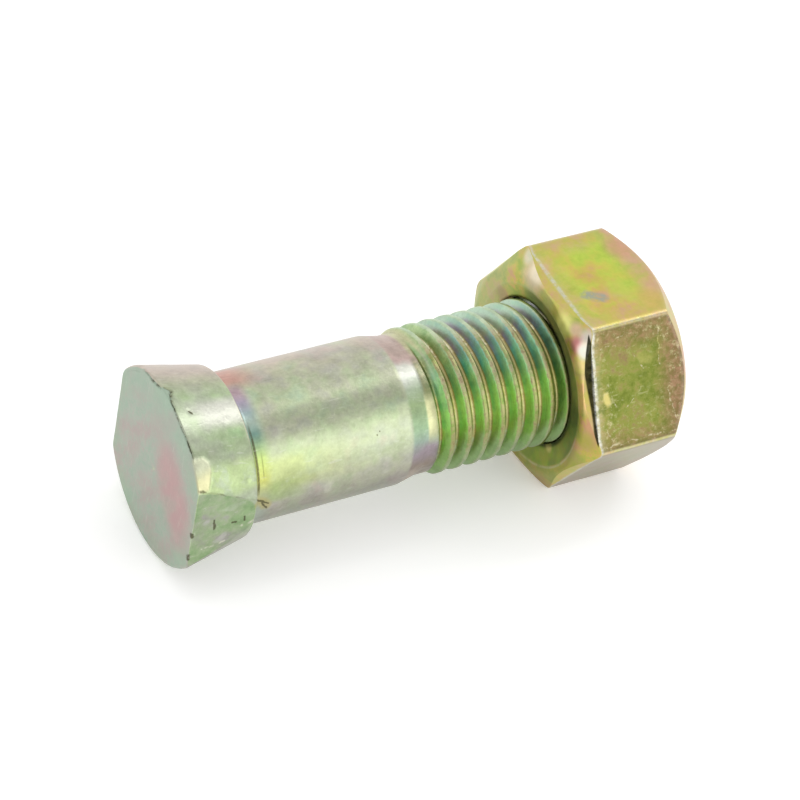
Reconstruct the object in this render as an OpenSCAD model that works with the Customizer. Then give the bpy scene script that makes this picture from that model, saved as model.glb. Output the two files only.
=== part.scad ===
// Plow bolt with a conical two-flat head and its hex nut, lying on its side.
// X is the bolt's axis: the head face is at x = 0 and the thread ends at x = bolt_length.
// Z is up: the nut lies on one of its flats, and the two flats of the head stand upright.

/* [Head] */
// Diameter of the head face, at the sharp corner of face and cone
head_d = 21.2; // [20.2:0.1:24]
// Distance across the two flats of the head
head_flats = 18.1; // [17.2:0.1:20]
// Length of the cone along the axis
cone_length = 7.1; // [5:0.1:10]
// Step from the small end of the cone down to the shank, along the radius
back_step = 1.1; // [0.6:0.1:1.6]
// Rounding of the rim of the head face
rim_radius = 0.5; // [0.2:0.1:1]
// Rounding of the edge at the back of the cone
back_edge_radius = 0.25; // [0.1:0.05:0.4]
// Fillet between the back of the head and the shank
back_fillet = 0.7; // [0.2:0.1:1]

/* [Shank] */
// Diameter of the plain shank
shank_d = 15.9; // [15:0.1:17]
// Distance from the head face to the end of the plain shank
shank_end = 25.2; // [20:0.1:30]
// Length of the taper from the shank down to the rolling blank
taper_length = 2.2; // [1:0.1:4]
// Length of plain blank between the taper and the start of the thread
blank_length = 0.3; // [0.2:0.1:2]

/* [Thread] */
// Overall length of the bolt, from the head face to the tip
bolt_length = 55; // [50:0.5:65]
// Diameter over the thread crests
thread_d = 15.85; // [15:0.05:16.5]
// Distance between two turns of thread
pitch = 2; // [1.5:0.1:2.5]
// Depth of the thread, from crest to root
thread_depth = 1.1; // [0.8:0.05:1.3]
// Width of the flat on the crest
crest_width = 0.3; // [0.2:0.05:0.4]
// Width of the flat at the root
root_width = 0.4; // [0.2:0.05:0.5]
// Depth of the rolling blank below the crest
blank_drop = 0.45; // [0.3:0.05:0.7]
// Turns over which the crest grows out of the blank
crest_runout = 0.45; // [0.2:0.05:1]
// Turns over which the first groove then sinks to its full depth
groove_runout = 0.25; // [0.1:0.05:0.5]
// Angle round the axis at which the thread starts, from +Y towards +Z
start_angle = -108; // [-180:1:180]
// Chamfer of the tip
tip_chamfer = 1.3; // [0.8:0.1:2]

/* [Nut] */
// Distance across the flats of the nut
nut_flats = 23.7; // [23:0.1:27]
// Height of the nut along the axis
nut_height = 12.7; // [10:0.1:16]
// Distance of the bolt's tip inside the far face of the nut
tip_inset = 1.4; // [0:0.1:8]
// Distance of each face's edge inside the flats
face_inset = 0.65; // [0.3:0.05:1]
// Chamfer angle of the corners on the near face
near_chamfer_angle = 30; // [20:1:40]
// Chamfer angle of the corners on the far face
far_chamfer_angle = 42; // [20:1:45]
// Amount by which the corners are cut back
corner_cut = 0.15; // [0.05:0.05:0.4]
// Length of the rolled-over edge of each flat beside the near face
rolled_length = 1.05; // [0.4:0.05:1.2]
// Angle of the rolled-over edge to the flat
rolled_angle = 28; // [15:1:35]
// Clearance between the bore and the thread crests, along the radius
bore_clearance = 0.1; // [0.05:0.01:0.2]
// Width of the countersink in the near face, along the radius
near_sink_width = 2.1; // [1.6:0.1:2.4]
// Shift of the near countersink from the nut's axis, towards -Y
near_sink_shift_y = 0.4; // [0:0.05:0.5]
// Shift of the near countersink from the nut's axis, downwards
near_sink_shift_z = 0.3; // [0:0.05:0.5]
// Angle between the shallow near countersink's wall and the axis
near_sink_angle = 80; // [60:1:84]
// Width of the countersink in the far face, along the radius
far_sink_width = 0.7; // [0.3:0.1:1.2]
// Angle between the far countersink's wall and the axis
far_sink_angle = 50; // [40:1:60]

/* [Hidden] */
$fn = 96;

// How far a cutting tool runs past the face that it cuts
overrun = 1;
// Segments of a rounded corner in a turned outline
arc_segments = 6;
// Steps in one turn of the thread
turn_steps = 40;
// Distance that keeps the threaded core inside the blank and the last turn inside the tip
thread_margin = 0.05;

head_r = head_d / 2;
shank_r = shank_d / 2;
back_r = shank_r + back_step;
crest_r = thread_d / 2;
root_r = crest_r - thread_depth;
blank_r = crest_r - blank_drop;
taper_end = shank_end + taper_length;
blank_end = taper_end + blank_length;

// The step at the head's back limits its own two roundings
back_edge_r = min(back_edge_radius, back_step * 0.3);
back_fillet_r = min(back_fillet, back_step * 0.65);

// Distance from the head face to the near face of the nut
nut_place = bolt_length + tip_inset - nut_height;
bore_r = crest_r + bore_clearance;
face_r = nut_flats / 2 - face_inset;
corner_r = nut_flats / 2 / cos(30) - corner_cut;

function unit(v) = v / norm(v);

// Arc that rounds the corner b of the outline a, b, c
function rounded(a, b, c, radius) =
    let (
        to_a = unit(a - b),
        to_c = unit(c - b),
        half = acos(to_a * to_c) / 2,
        centre = b + unit(to_a + to_c) * radius / sin(half),
        first = b + to_a * radius / tan(half) - centre,
        last = b + to_c * radius / tan(half) - centre
    )
    [for (i = [0 : arc_segments]) centre + radius * unit(first + (last - first) * i / arc_segments)];

// Turns a solid made along Z so that it lies along X
module along_x() {
    rotate([0, 90, 0]) children();
}

// Half section of the bolt without its thread, as [radius, distance from the head face]
function bolt_outline() =
    let (
        rim = [head_r, 0],
        back = [back_r, cone_length],
        corner = [shank_r, cone_length],
        shank_stop = [shank_r, shank_end]
    )
    concat(
        [[0, 0]],
        rounded([0, 0], rim, back, rim_radius),
        rounded(rim, back, corner, back_edge_r),
        rounded(back, corner, shank_stop, back_fillet_r),
        [shank_stop, [blank_r, taper_end], [blank_r, blank_end], [0, blank_end]]
    );

module head_flat_cut() {
    translate([-overrun, head_flats / 2, -head_d])
        cube([cone_length + overrun, head_d, 2 * head_d]);
}

// Threaded core as one closed surface. Four helical lines follow the profile: the foot of the leading
// flank, both edges of the crest and the foot of the trailing flank. At the start the crest grows out
// of the blank and the first groove sinks in behind the blank's lip. The chamfer cuts the tip back.
module thread() {
    core_r = blank_r - thread_margin;
    tip_r = crest_r - tip_chamfer;
    flank = (pitch - crest_width - root_width) / 2;
    line_x = [0, flank, flank + crest_width, 2 * flank + crest_width];
    thread_x = blank_end + thread_margin;
    root_x = pitch - line_x[3];
    last = floor((bolt_length - thread_margin - thread_x - line_x[3]) / pitch * turn_steps);

    function ring(x, r) = [
        for (j = [0 : turn_steps - 1])
            let (a = start_angle + 360 * j / turn_steps)
            [x, r * cos(a), r * sin(a)]
    ];

    function on_line(k, line) =
        let (
            turns = k / turn_steps,
            a = start_angle + 360 * turns,
            x = thread_x + line_x[line] + pitch * turns,
            crest_growth = min(1, turns / crest_runout),
            groove_growth = max(0, min(1, (turns - crest_runout) / groove_runout)),
            full_r = (line == 0 || line == 3) ? root_r : crest_r,
            growth = line == 0 ? groove_growth : crest_growth,
            r = min(core_r + (full_r - core_r) * growth, tip_r + bolt_length - x)
        )
        [x, r * cos(a), r * sin(a)];

    // Edge of the blank beside the first groove
    function on_lip(k) =
        let (a = start_angle + 360 * k / turn_steps)
        [thread_x - root_x + pitch * k / turn_steps, core_r * cos(a), core_r * sin(a)];

    function first_ring(j) = j % turn_steps;
    function on(k, line) = turn_steps + 4 * k + line;
    function last_ring(j) = on(last + 1, 0) + j % turn_steps;
    // After one turn the lip meets the foot of the first ridge
    function lip(k) = k < turn_steps ? on(last + 1, 0) + turn_steps + k : on(0, 3);
    function quad(a, b, c, d) = [[a, b, c], [a, c, d]];

    points = concat(
        ring(taper_end - root_x, core_r),
        [for (k = [0 : last]) for (line = [0 : 3]) on_line(k, line)],
        ring(bolt_length, tip_r),
        [for (k = [0 : turn_steps - 1]) on_lip(k)]
    );

    // Both flanks and the crest
    ridge = [
        for (k = [0 : last - 1]) for (line = [0 : 2])
            each quad(on(k, line), on(k, line + 1), on(k + 1, line + 1), on(k + 1, line))
    ];
    // The root between one turn and the next
    root = [
        for (k = [0 : last - turn_steps - 1])
            each quad(on(k, 3), on(k + turn_steps, 0), on(k + turn_steps + 1, 0), on(k + 1, 3))
    ];
    // The blank up to its lip and the first groove, closed along the start of the ridge
    lead_in = [
        for (j = [0 : turn_steps - 2])
            each quad(first_ring(j), lip(j), lip(j + 1), first_ring(j + 1))
    ];
    first_groove = [
        for (j = [0 : turn_steps - 1])
            each quad(lip(j), on(j, 0), on(j + 1, 0), lip(j + 1))
    ];
    before = first_ring(turn_steps - 1);
    start_row = [first_ring(0), lip(0), on(0, 0), on(0, 1), on(0, 2), on(0, 3)];
    start_close = concat(
        [for (i = [0 : 4]) [before, start_row[i + 1], start_row[i]]],
        [[before, lip(turn_steps - 1), on(0, 3)]]
    );
    // The tip after the last turn, closed along the end of the ridge
    lead_out = [
        for (k = [last - turn_steps + 1 : last - 1])
            each quad(on(k, 3), last_ring(k), last_ring(k + 1), on(k + 1, 3))
    ];
    after = last_ring(last + 1);
    end_row = [on(last, 0), on(last, 1), on(last, 2), on(last, 3), last_ring(last)];
    end_close = concat(
        [for (i = [0 : 3]) [after, end_row[i], end_row[i + 1]]],
        [[after, on(last - turn_steps + 1, 3), on(last, 0)]],
        [[on(last - turn_steps + 1, 3), on(last - turn_steps, 3), on(last, 0)]]
    );
    caps = [
        [for (j = [0 : turn_steps - 1]) first_ring(j)],
        [for (j = [turn_steps - 1 : -1 : 0]) last_ring(j)]
    ];

    polyhedron(points, concat(ridge, root, lead_in, first_groove, start_close, lead_out, end_close, caps));
}

module bolt() {
    color([0.68, 0.73, 0.54])
    union() {
        difference() {
            along_x() rotate_extrude() polygon(bolt_outline());
            head_flat_cut();
            mirror([0, 1, 0]) head_flat_cut();
        }
        thread();
    }
}

// Half section that the chamfers give the nut, as [radius, distance from the near face]
function nut_outline() =
    let (cut = corner_r - face_r)
    [
        [0, 0],
        [face_r, 0],
        [corner_r, cut * tan(near_chamfer_angle)],
        [corner_r, nut_height - cut * tan(far_chamfer_angle)],
        [face_r, nut_height],
        [0, nut_height]
    ];

// Sloping cut beside the near face on the flat that looks up
module rolled_edge_cut() {
    translate([rolled_length, 0, nut_flats / 2])
        rotate([0, -rolled_angle, 0])
            translate([-nut_height, -nut_flats / 2, 0])
                cube([nut_height + overrun, nut_flats, nut_flats / 4]);
}

// Cone that opens towards -X to the radius r at x = 0, its wall at an angle to the axis
module countersink_cut(r, angle) {
    along_x()
        translate([0, 0, -overrun])
            cylinder(h = overrun + r / tan(angle), r1 = r + overrun * tan(angle), r2 = 0);
}

module hex_nut() {
    color([0.74, 0.70, 0.36])
    translate([nut_place, 0, 0])
    difference() {
        intersection() {
            along_x() rotate([0, 0, 30]) cylinder(h = nut_height, d = nut_flats / cos(30), $fn = 6);
            along_x() rotate_extrude() polygon(nut_outline());
        }
        for (i = [0 : 5]) rotate([60 * i, 0, 0]) rolled_edge_cut();
        translate([-overrun, 0, 0]) along_x() cylinder(h = nut_height + 2 * overrun, r = bore_r);
        translate([0, -near_sink_shift_y, -near_sink_shift_z])
            countersink_cut(bore_r + near_sink_width, near_sink_angle);
        translate([nut_height, 0, 0])
            mirror([1, 0, 0])
                countersink_cut(bore_r + far_sink_width, far_sink_angle);
    }
}

bolt();
hex_nut();
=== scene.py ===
"""Plow bolt with a conical two-flat head and a hex nut, in yellow-passivated zinc."""

import math
from functools import partialmethod, reduce

import bpy
import numpy as np
from mathutils import Matrix, Vector, noise


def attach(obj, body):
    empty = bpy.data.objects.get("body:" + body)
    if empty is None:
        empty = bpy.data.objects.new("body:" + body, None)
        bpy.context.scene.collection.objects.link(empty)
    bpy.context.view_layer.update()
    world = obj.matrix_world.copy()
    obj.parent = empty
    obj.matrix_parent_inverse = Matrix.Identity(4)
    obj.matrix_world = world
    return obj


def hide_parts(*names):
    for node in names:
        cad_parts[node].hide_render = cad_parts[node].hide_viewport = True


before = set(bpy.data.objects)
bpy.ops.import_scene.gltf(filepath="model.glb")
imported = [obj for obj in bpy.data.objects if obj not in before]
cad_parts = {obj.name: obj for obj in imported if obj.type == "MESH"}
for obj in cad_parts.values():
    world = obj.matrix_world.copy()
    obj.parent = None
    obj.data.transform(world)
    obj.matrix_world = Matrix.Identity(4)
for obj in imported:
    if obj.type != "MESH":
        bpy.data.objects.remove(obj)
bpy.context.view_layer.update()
scene = bpy.context.scene

# Sizes in mm, in the frame of the part: X along the axis, head face at x = 0, Z up
MM = 0.001
HEAD_R, BACK_R, CONE_LENGTH, FLAT_HALF = 10.6, 9.05, 7.1, 9.05
SHANK_R, SHANK_END, TAPER_END, BLANK_END = 7.95, 25.2, 27.4, 27.7
BOLT_LENGTH, CREST_R, ROOT_R, BLANK_R, TIP_R = 55.0, 7.925, 6.825, 7.475, 6.625
PITCH, THREAD_X, THREAD_START = 2.0, 27.75, -108.0
NUT_X, NUT_HALF, NUT_HEIGHT, NUT_FACE_R, NUT_CORNER_R = 43.7, 11.85, 12.7, 11.2, 13.53
NUT_BORE_R, NUT_RIDGE, ROLL_LENGTH = 8.05, 1.05, 1.05
SINK_R, SINK_Y, SINK_Z, SINK_SLOPE = 10.125, -0.4, -0.3, math.tan(math.radians(80))
FAR_SINK, FAR_SLOPE = 0.7, math.tan(math.radians(50))
# Place and angle of a point on the thread's crest, and the two points on which the bolt lies
CREST_X, CREST_TURN = 29.85, 130.0
REST_HEAD, REST_NUT = (0.5, 0, -10.5), (44.75, 0, -11.88)
# Depth of the lap and the chip on the head's rim, and of the unevenness that the forging left
LAP_DEPTH, CHIP_DEPTH = 0.2, 0.1
UNEVEN_HEAD, UNEVEN_SHANK, UNEVEN_CREST, UNEVEN_NUT = 0.018, 0.014, 0.03, 0.02
# Columns of the shank's and the thread's mesh; the head has twice as many
COLUMNS = 160

# Brightness of the tent, the share of it that the metal gives back, and the glow that whitens the floor
LIGHT, FILM_DEPTH, FLOOR_LIFT = 1.45, 0.69, 0.22
# Share of a stroke's width and of a patch's reach that is painted in full, and the head's rose patch
STROKE_CORE, PATCH_CORE = 0.35, 0.3
ROSE_LENGTH, ROSE_WIDTH = 5.6, 3.4

# Metres: the lamps stand round the middle of the part, and the camera was fitted to the photo
PART_MIDDLE, LAMP_DISTANCE = Vector((0.027, 0, 0)), 0.6
CAMERA_RIGHT, CAMERA_UP = Vector((0.87145, -0.46285, 0.16229)), Vector((0.22604, 0.67264, 0.70461))
CAMERA_PLACE, LENS_MM, SENSOR_MM = (-0.11285, -0.187, 0.2244), 140.53, 36


# Geometry

def smooth_min(a, b, k):
    h = np.clip(0.5 + 0.5 * (b - a) / k, 0, 1)
    return b * (1 - h) + a * h - k * h * (1 - h)


def smoothstep(low, high, v):
    t = np.clip((v - low) / (high - low), 0, 1)
    return t * t * (3 - 2 * t)


def thread_height(slope):
    """Height of a thread, from 0 at its root to 1 at its crest, with soft corners."""
    height = smooth_min(slope, np.ones_like(slope), 0.12)
    return np.clip(-smooth_min(-height, np.zeros_like(height), 0.12), 0, 1)


def section(x, r):
    """One row of a lathed surface: x and r for every column."""
    x, r = np.broadcast_arrays(np.asarray(x, float), np.asarray(r, float))
    return np.stack([x, r], 1)


def unit(v):
    return v / np.linalg.norm(v, axis=1, keepdims=True)


def rounded(p, q, s, radius, steps):
    """Rows that round the corner q between the rows p and s."""
    a, b = unit(p - q), unit(s - q)
    half = np.arccos(np.clip((a * b).sum(1, keepdims=True), -0.9999, 0.9999)) / 2
    centre = q + unit(a + b) * radius / np.sin(half)
    first = q + a * radius / np.tan(half) - centre
    last = q + b * radius / np.tan(half) - centre
    return [centre + radius * unit(first + (last - first) * i / steps) for i in range(steps + 1)]


def between(p, q, shares):
    return [p + (q - p) * t for t in shares]


class Shell:
    """A closed surface made of rings and helical lines."""

    def __init__(self):
        self.points, self.faces, self.marks = [], [], {}

    def add(self, points, **marks):
        start = len(self.points)
        self.points.extend(points)
        for name, values in marks.items():
            for i, v in enumerate(values):
                if v > 0.001:
                    self.marks.setdefault(name, {})[start + i] = float(v)
        return list(range(start, start + len(points)))

    def ring(self, row, angles, **marks):
        a = np.radians(angles)
        xyz = np.stack([row[:, 0], row[:, 1] * np.cos(a), row[:, 1] * np.sin(a)], 1)
        return self.add(xyz.tolist(), **marks)

    def join(self, a, b):
        n = len(a)
        for j in range(n):
            k = (j + 1) % n
            self.faces.append((a[j], a[k], b[k], b[j]))

    def halve(self, fine, coarse):
        n = len(coarse)
        for j in range(n):
            k = (j + 1) % n
            f0, f1, f2 = fine[2 * j], fine[2 * j + 1], fine[(2 * j + 2) % (2 * n)]
            self.faces += [(f0, f1, coarse[j]), (f1, coarse[k], coarse[j]), (f1, f2, coarse[k])]

    def fan(self, ring, centre, start):
        c = self.add([centre])[0]
        n = len(ring)
        for j in range(n):
            a, b = ring[j], ring[(j + 1) % n]
            self.faces.append((c, b, a) if start else (c, a, b))

    def helix(self, ring_in, ring_out, angles, lines, place, last, inside=False):
        """A threaded wall between two rings. place(k, line) gives x and r of one point of the thread."""
        n, start = len(angles), len(self.points)
        for k in range(last + 1):
            a = math.radians(angles[k % n])
            for m in range(lines):
                x, r = place(k, m)
                self.points.append((x, r * math.cos(a), r * math.sin(a)))

        def on(k, m):
            return start + k * lines + m

        faces, top = [], lines - 1
        for k in range(last):
            for m in range(top):
                faces.append((on(k, m), on(k + 1, m), on(k + 1, m + 1), on(k, m + 1)))
        for k in range(last - n):
            faces.append((on(k, top), on(k + 1, top), on(k + 1 + n, 0), on(k + n, 0)))
        for j in range(n - 1):
            faces.append((ring_in[j], ring_in[j + 1], on(j + 1, 0), on(j, 0)))
        loop = [ring_in[0]] + [on(0, m) for m in range(lines)] + [on(n, 0), on(n - 1, 0)]
        faces += [(ring_in[n - 1], loop[i], loop[i + 1]) for i in range(len(loop) - 1)]
        for k in range(last - n + 1, last):
            faces.append((on(k, top), on(k + 1, top), ring_out[(k + 1) % n], ring_out[k % n]))
        loop = [ring_out[last % n]] + [on(last, m) for m in range(top, -1, -1)]
        loop += [on(last - n, top), on(last - n + 1, top)]
        after = ring_out[(last + 1) % n]
        faces += [(after, loop[i], loop[i + 1]) for i in range(len(loop) - 1)]
        self.faces += [f[::-1] for f in faces] if inside else faces

    def build(self, name):
        mesh = bpy.data.meshes.new(name)
        mesh.from_pydata((np.array(self.points) * MM).tolist(), [], self.faces)
        mesh.polygons.foreach_set("use_smooth", [True] * len(mesh.polygons))
        for mark, values in self.marks.items():
            data = np.zeros(len(self.points), np.float32)
            data[list(values)] = list(values.values())
            mesh.attributes.new(mark, "FLOAT", "POINT").data.foreach_set("value", data)
        mesh.update()
        piece = bpy.data.objects.new(name, mesh)
        scene.collection.objects.link(piece)
        return piece


def wave(x, y, z, size, seed):
    return noise.noise(Vector((x / size + seed, y / size + 3 * seed, z / size - seed)))


def make_bolt():
    shell = Shell()
    coarse = THREAD_START + np.arange(COLUMNS) * 360 / COLUMNS
    fine = THREAD_START + np.arange(2 * COLUMNS) * 180 / COLUMNS
    turn = fine % 360
    cos_a = np.maximum(np.abs(np.cos(np.radians(fine))), 1e-6)

    def head_r(x):
        cone = HEAD_R - (HEAD_R - BACK_R) / CONE_LENGTH * x
        return smooth_min(np.full_like(cos_a, cone), FLAT_HALF / cos_a, 0.16)

    rim = section(0, head_r(0))
    rows, places = [], []

    def put(row, place):
        rows.append(row)
        places.append(np.broadcast_to(place, len(fine)))

    # Each row knows its place: the distance from the rim, below 0 on the face and above 0 on the side
    for share in (0.04, 0.1, 0.18, 0.27, 0.36, 0.45, 0.54, 0.63, 0.71, 0.78, 0.83, 0.87):
        put(section(0, rim[:, 1] * share), -9)
    for inset in (1.15, 1.0, 0.88, 0.78, 0.7, 0.62, 0.55):
        put(section(0, rim[:, 1] - inset), -inset)
    # The rim is sharp beside the lap and the flat in front, and rounded elsewhere
    rim_radius = 0.5 - 0.36 * smoothstep(56, 68, turn) * (1 - smoothstep(206, 216, turn))
    bend = rounded(section(0, rim[:, 1] - 1), rim, section(1, head_r(1)), rim_radius[:, None], 9)
    for row in between(rows[-1], bend[0], (0.25, 0.5, 0.75)):
        put(row, row[:, 1] - rim[:, 1])
    for i, row in enumerate(bend):
        put(row, (row[:, 1] - rim[:, 1]) * (1 - i / 9) + row[:, 0] * i / 9)
    for row in between(bend[-1], section(0.56, head_r(0.56)), (0.25, 0.5, 0.75)):
        put(row, row[:, 0])
    for x in np.concatenate([np.arange(0.56, 1.7, 0.085), np.arange(1.8, 6.75, 0.16)]):
        put(section(x, head_r(x)), x)
    side, back = section(5, head_r(5)), section(CONE_LENGTH, head_r(CONE_LENGTH))
    foot = section(CONE_LENGTH, np.full(len(fine), SHANK_R))
    for row in rounded(side, back, foot, 0.22, 5) + rounded(back, foot, foot + [9, 0], 0.7, 7):
        put(row, 9)

    # Lap along the rim of the face, a chip beside it and small dents, as left by the forging
    lap_a = [60, 66, 72, 79, 84.4, 85.6, 88.6, 91.5, 96, 103, 111, 118, 123, 127, 132]
    lap_s = [0.1, -0.15, -0.4, -0.4, -0.2, 0.4, 0.78, 0.5, 0.14, -0.1, -0.28, -0.14, 0.02, 0.14, 0.1]
    lap = np.interp(turn, lap_a, lap_s)
    lap += np.array([0.1 * wave(math.cos(t), math.sin(t), 0, 0.05, 2) for t in np.radians(turn)])
    lap_depth = LAP_DEPTH * smoothstep(60, 72, turn) * (1 - smoothstep(126, 133, turn))
    dents = [(104, 1.5, 0.3, 0.07), (123, 3.9, 0.7, 0.05), (152, 6.0, 0.3, 0.07), (184, 0.15, 0.35, 0.1),
             (203, 0.1, 0.35, 0.1), (112, 5.2, 0.5, 0.04), (131, 2.2, 0.6, 0.03), (30, 2.0, 0.5, 0.06),
             (265, 0.2, 0.4, 0.1), (310, 0.1, 0.35, 0.1), (285, 3.6, 0.6, 0.05), (345, 4.4, 0.4, 0.06)]

    previous = None
    for i, (row, place) in enumerate(zip(rows, places)):
        before, after = rows[max(i - 1, 0)], rows[min(i + 1, len(rows) - 1)]
        tangent = unit(after - before)
        normal = np.stack([-tangent[:, 1], tangent[:, 0]], 1)
        sink, grime, chip = np.zeros((3, len(fine)))
        matt = np.where(place < np.where(lap_depth > 0, lap, 0.0), 1.0, 0.0)
        if -2 < place.min() and place.max() < 8:
            near = np.exp(-((place - lap) / 0.1) ** 2)
            sink += lap_depth * near
            grime = lap_depth / LAP_DEPTH * np.exp(-((place - lap) / 0.17) ** 2)
            edge = 0.04 * np.array([wave(t / 6, q * 3, 0, 1, 5) for t, q in zip(turn, place)])
            reach = np.interp(turn, [130, 134, 139, 151], [1.2, 1.9, 2.0, 1.3])
            jagged, inner, outer = turn + 20 * edge, place + edge, place + 2 * edge
            chip = smoothstep(130, 132, jagged) * (1 - smoothstep(148.5, 150.5, jagged))
            chip *= smoothstep(-0.4, -0.2, inner) * (1 - smoothstep(reach - 0.2, reach, outer))
            sink += CHIP_DEPTH * chip
            for angle, x, size, depth in dents:
                off = np.abs((turn - angle + 180) % 360 - 180)
                arc = np.radians(off) * row[:, 1]
                sink += depth * np.exp(-((arc / size) ** 2 + ((place - x) / size) ** 2) * 2)
        if place.min() > -2:
            sink += UNEVEN_HEAD * np.array([wave(x, r * math.cos(t), r * math.sin(t), 1.6, 7)
                                            for (x, r), t in zip(row, np.radians(fine))])
        ring = shell.ring(row - normal * sink[:, None], fine, grime=grime, chip=chip, matt=matt)
        if previous is None:
            shell.fan(ring, (0, 0, 0), True)
        else:
            shell.join(previous, ring)
        previous = ring

    def shank_ring(x, r):
        low = UNEVEN_SHANK * np.array([wave(x, SHANK_R * math.cos(t), SHANK_R * math.sin(t), 2.2, 11)
                                       for t in np.radians(coarse)])
        fade = float(smoothstep(BLANK_END, SHANK_END, x))
        return shell.ring(section(np.full(COLUMNS, x), r - low * fade), coarse)

    ring = shank_ring(8.05, SHANK_R)
    shell.halve(previous, ring)
    outline = [(x, SHANK_R) for x in np.arange(8.4, SHANK_END - 0.5, 0.36)]
    p, q = np.array([[SHANK_END - 4, SHANK_R]]), np.array([[SHANK_END, SHANK_R]])
    s, e = np.array([[TAPER_END, BLANK_R]]), np.array([[BLANK_END + 2, BLANK_R]])
    bends = rounded(p, q, s, 2.0, 4) + between(q, s, (0.3, 0.42, 0.55, 0.68)) + rounded(q, s, e, 1.0, 3)
    outline += [tuple(v[0]) for v in bends] + [(BLANK_END, BLANK_R)]
    for x, r in outline:
        row = shank_ring(x, r)
        shell.join(ring, row)
        ring = row

    # Profile of the thread over one pitch, from the blank's lip over the root to the crest and past it
    lip_u, crest_u = -0.2, 0.8
    lines_u = [-0.62, -0.54, -0.46, -0.36, -0.2, -0.06, 0.02, 0.1, 0.22, 0.38, 0.52, 0.6, 0.66, 0.72, 0.8,
               0.9, 1.0, 1.07, 1.13, 1.2, 1.29]
    ahead = np.where(np.array(lines_u) < lip_u, np.array(lines_u) + PITCH, lines_u) - crest_u
    height = thread_height(np.where(ahead < 0, (0.82 + ahead) / 0.65, (0.82 - ahead) / 0.55))

    def place(k, m):
        turns, u = k / COLUMNS, lines_u[m]
        x = max(THREAD_X + u + PITCH * turns, BLANK_END + 0.01 + 0.008 * m)
        full = ROOT_R + (CREST_R - ROOT_R) * float(height[m])
        grown = float(smoothstep(0, 0.5, turns))
        if u < lip_u:
            lip = ROOT_R + (BLANK_R - ROOT_R) * min(1.0, (-0.3 - u) / 0.3) ** 0.6
            full = lip + (full - lip) * float(smoothstep(0, 0.5, turns - 1))
            grown = float(smoothstep(0.45, 0.74, turns))
        elif u < crest_u and full < BLANK_R:
            grown = float(smoothstep(0.45, 0.74, turns))
        worn = UNEVEN_CREST * wave(turns * 50, u, 0, 1.1, 3) * float(height[m] > 0.85)
        return x, min(BLANK_R + (full - worn - BLANK_R) * grown, TIP_R + BOLT_LENGTH - x)

    tip = shell.ring(section(np.full(COLUMNS, BOLT_LENGTH), TIP_R), coarse)
    last = int((BOLT_LENGTH - 0.05 - THREAD_X - lines_u[-1]) / PITCH * COLUMNS)
    shell.helix(ring, tip, coarse, len(lines_u), place, last)
    for r in (6.45, 5.6, 4.2, 2.8, 1.4):
        row = shell.ring(section(np.full(COLUMNS, BOLT_LENGTH), r), coarse)
        shell.join(tip, row)
        tip = row
    shell.fan(tip, (BOLT_LENGTH, 0, 0), False)
    return shell.build("bolt_look")


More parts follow.
